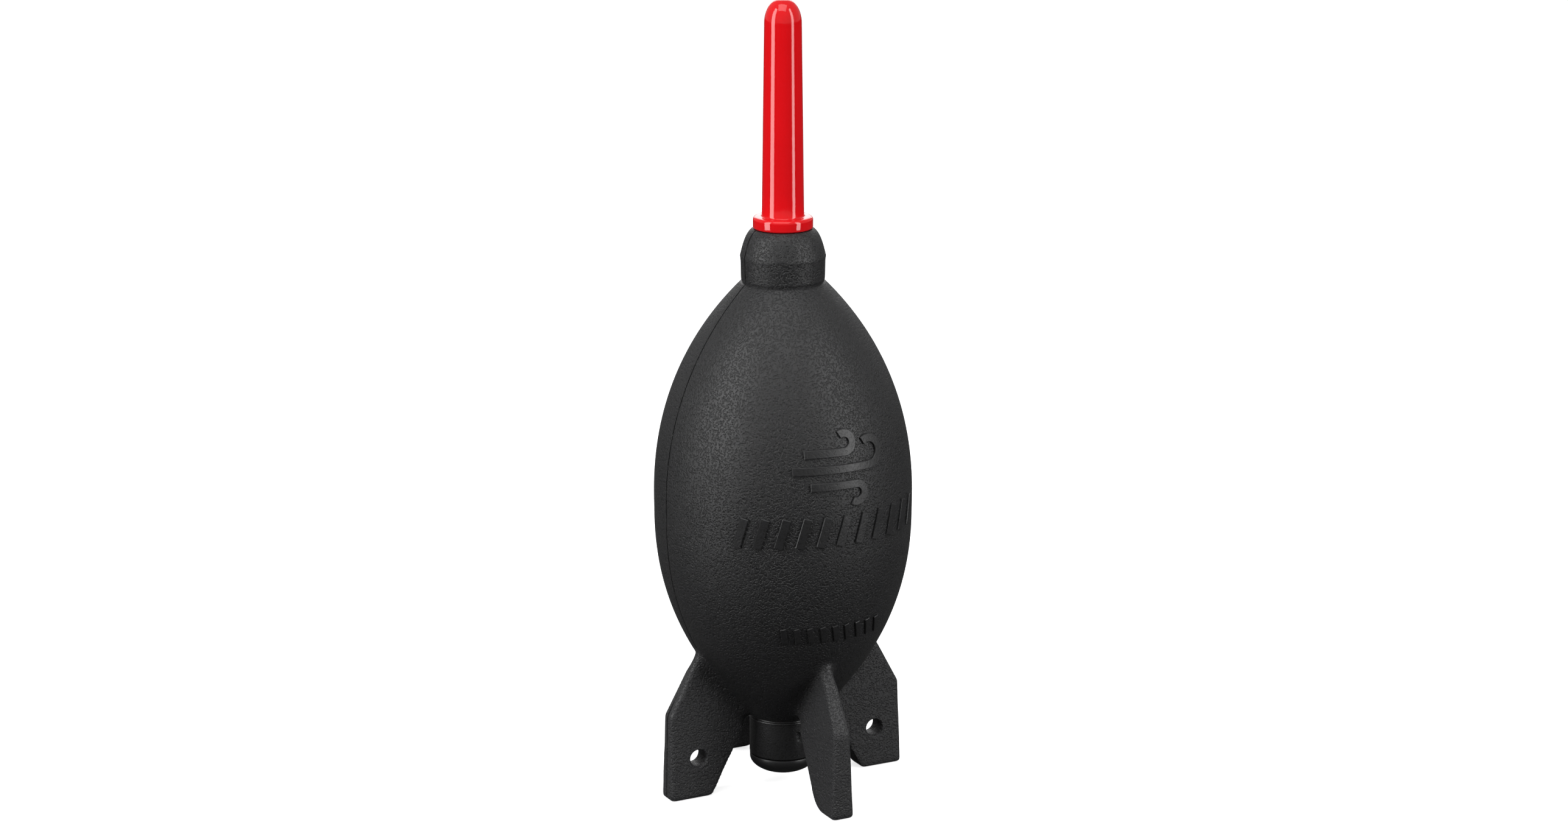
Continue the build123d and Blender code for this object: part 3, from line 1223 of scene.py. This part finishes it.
@dataclass
class IntakeValve:
    """The one-way valve in the tail: a domed plug, and the CAD disc and retainer inside it."""

    satin: Material
    silicone: Material
    natural: Material
    plug_r: float = 8.04
    rim_bottom_z: float = 6.4
    rim_top_z: float = 7.35
    dome_depth: float = 3.86
    intake_r: float = 1.8
    shank_r: float = 5.47
    barb_z: float = 23.5
    barb_r: float = 6.3
    barb_height: float = 1.4
    chamber_r: float = 4.3
    chamber_floor_z: float = 12.0
    seat_r: float = 2.6
    seat_height: float = 0.4

    def outline(self) -> Outline:
        """The plug's turned outline, from the intake hole round the head and back inside."""
        dome: Outline = []
        start = asin((self.intake_r + 0.35) / self.plug_r)
        for i in range(22):
            turn = start + (pi / 2 - start) * i / 21
            dome.append((self.plug_r * sin(turn), self.rim_bottom_z - self.dome_depth * cos(turn)))
        rim = [
            (self.plug_r, self.rim_top_z - 0.25),
            (self.plug_r - 0.08, self.rim_top_z - 0.06),
            (self.plug_r - 0.3, self.rim_top_z),
        ]
        shank = [
            (self.shank_r, self.rim_top_z),
            (self.shank_r, self.barb_z),
            (self.barb_r, self.barb_z),
            (self.shank_r, self.barb_z + self.barb_height),
            (self.chamber_r, self.barb_z + self.barb_height),
            (self.chamber_r, self.chamber_floor_z),
            (self.seat_r + 0.3, self.chamber_floor_z),
            (self.seat_r + 0.1, self.chamber_floor_z + self.seat_height),
            (self.seat_r - 0.1, self.chamber_floor_z + self.seat_height),
            (self.seat_r - 0.3, self.chamber_floor_z),
            (self.intake_r, self.chamber_floor_z - 0.2),
        ]
        mouth_z = dome[0][1]
        mouth = [(self.intake_r, mouth_z + 0.4), (self.intake_r + 0.1, mouth_z + 0.12), dome[0]]
        return dome + rim + shank + mouth

    def build(self) -> Piece:
        """The plug in the place of its CAD node, with finishes on the disc and the retainer."""
        piece = lathe("valve_plug_moulding", self.outline(), 96)
        smooth_shading(piece, 40)
        dress(piece, self.satin)
        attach(piece, BODY_BULB)
        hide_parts("valve_plug")
        dress(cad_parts["valve_disc"], self.silicone)
        dress(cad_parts["valve_retainer"], self.natural)
        log.info("%s: %d faces", piece.name, len(piece.data.polygons))
        return piece


# ---------------------------------------------------------------- studio


@dataclass
class Studio:
    """Pale floor, soft boxes and the camera."""

    camera_distance: float = 793.0   # mm from the bulb's axis, level
    camera_height: float = 298.4     # mm above the floor
    camera_azimuth: float = -27.2    # degrees, 0 looks along +Y
    camera_pitch: float = 14.58      # degrees down
    lens: float = 79.46
    sideways_shift: float = 0.00066
    floor_size: float = 9000.0

    def build_camera(self) -> None:
        """The camera, at the height and angle that such a product is usually shown from."""
        deselect_all()
        turn = radians(self.camera_azimuth)
        place = (
            mm(self.camera_distance) * sin(turn),
            -mm(self.camera_distance) * cos(turn),
            mm(self.camera_height),
        )
        aim = (radians(90 - self.camera_pitch), 0, turn)
        bpy.ops.object.camera_add(location=place, rotation=aim)
        camera = bpy.context.object
        camera.data.lens = self.lens
        camera.data.sensor_width = 36.0
        camera.data.shift_x = self.sideways_shift
        bpy.context.scene.camera = camera

    def build_floor(self) -> None:
        """The floor. It looks pale, and throws only a little light back up at the rubber."""
        deselect_all()
        bpy.ops.mesh.primitive_plane_add(size=mm(self.floor_size), location=(0, 0, 0))
        floor = rename(bpy.context.object, "studio_floor")
        material, output = new_material("matt_white_paper")
        paper = {"Color": srgb("#f4f4f4"), "Roughness": 0.5}
        pale = add_node(material, "BsdfDiffuse", paper)
        glow = add_node(material, "Emission", {"Color": srgb("#ffffff"), "Strength": 0.72})
        lit = add_node(material, "AddShader", {}, {0: pale.outputs[0], 1: glow.outputs[0]})
        dull = add_node(material, "BsdfDiffuse", {"Color": srgb("#505050")})
        split_by_camera_ray(material, dull, lit, output)
        dress(floor, material)

    def soft_box(self, name: str, place: Vector, aim: Vector, size: Point, radiance: float) -> None:
        """One rectangular soft box.

        Args:
            name: the light's name.
            place: its middle in millimetres: to the right of the camera's line, towards the
                camera, and up.
            aim: the point that it faces, told the same way.
            size: width and height in millimetres.
            radiance: how bright its face is, where white paper in the room is about 1.
        """
        deselect_all()
        turn = radians(self.camera_azimuth)
        right = Vector((cos(turn), sin(turn), 0.0))
        near = Vector((sin(turn), -cos(turn), 0.0))
        spot, target = (right * v.x + near * v.y + Vector((0, 0, v.z)) for v in (place, aim))
        bpy.ops.object.light_add(type="AREA", location=spot / 1000.0)
        light = bpy.context.object
        light.name = name
        light.rotation_euler = (spot - target).to_track_quat("Z", "Y").to_euler()
        light.data.shape = "RECTANGLE"
        light.data.size = mm(size[0])
        light.data.size_y = mm(size[1])
        light.data.energy = radiance * pi * mm(size[0]) * mm(size[1])
        light.visible_camera = False

    def build_lights(self) -> None:
        """Two tall strips, a soft box above and a room that is dim below the horizon."""
        height = 300.0
        for name, turn, width in (("left_strip", -62.5, 165.0), ("right_strip", 61.5, 115.0)):
            away = radians(turn)
            place = Vector((400.0 * sin(away), 400.0 * cos(away), height))
            self.soft_box(name, place, Vector((0, 0, height)), (width, 580.0), 6.0)
        self.soft_box("top_box", Vector((-60, 450, 1080)), Vector((0, 0, 90)), (900.0, 700.0), 2.4)
        self.soft_box("back_box", Vector((0, -700, 420)), Vector((0, 0, 80)), (560.0, 420.0), 2.2)
        world = bpy.context.scene.world or bpy.data.worlds.new("room")
        bpy.context.scene.world = world
        world.use_nodes = True
        world.node_tree.nodes.clear()
        output = add_node(world, "OutputWorld")
        room = add_node(world, "Background", {"Color": srgb("#ffffff"), "Strength": 0.36})
        white = add_node(world, "Background", {"Color": srgb("#ffffff"), "Strength": 1.0})
        split_by_camera_ray(world, room, white, output)

    def build(self) -> None:
        """Everything round the object."""
        self.build_camera()
        self.build_floor()
        self.build_lights()
        bpy.context.scene.view_settings.view_transform = "Standard"


def main() -> None:
    """Build the object's pieces in order, then the studio."""
    logging.basicConfig(level=logging.INFO, format="%(name)s: %(message)s")
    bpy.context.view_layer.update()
    Studio().build()
    grained = MouldedRubber("black_rubber_grained", 0.12).build()
    # The smooth rubber's pits are painted a little darker too: painted shade.
    smooth = MouldedRubber("black_rubber_smooth", 0.02, pit_shade_colour="#141414", roughness=0.41).build()
    bulb = Bulb()
    fins = [Fin(direction) for direction in FinDirection]
    Moulding(bulb, fins, RaisedDecoration(bulb), grained, smooth).build()
    red = MouldedPlastic("gloss_red_moulded_plastic", "#d60f15", "#de1119", 0.06, subsurface=0.6)
    Nozzle(red.build()).build()
    satin_name = "satin_black_moulded_plastic"
    satin = MouldedPlastic(satin_name, "#161617", "#1b1b1c", 0.38, fine_depth=0.01)
    silicone = MouldedPlastic("grey_silicone_rubber", "#8c8c88", "#969692", 0.55, ior=1.41)
    natural = MouldedPlastic("natural_nylon", "#cfccc0", "#d8d5ca", 0.42, subsurface=0.8)
    IntakeValve(satin.build(), silicone.build(), natural.build()).build()


if __name__ == "__main__":
    main()
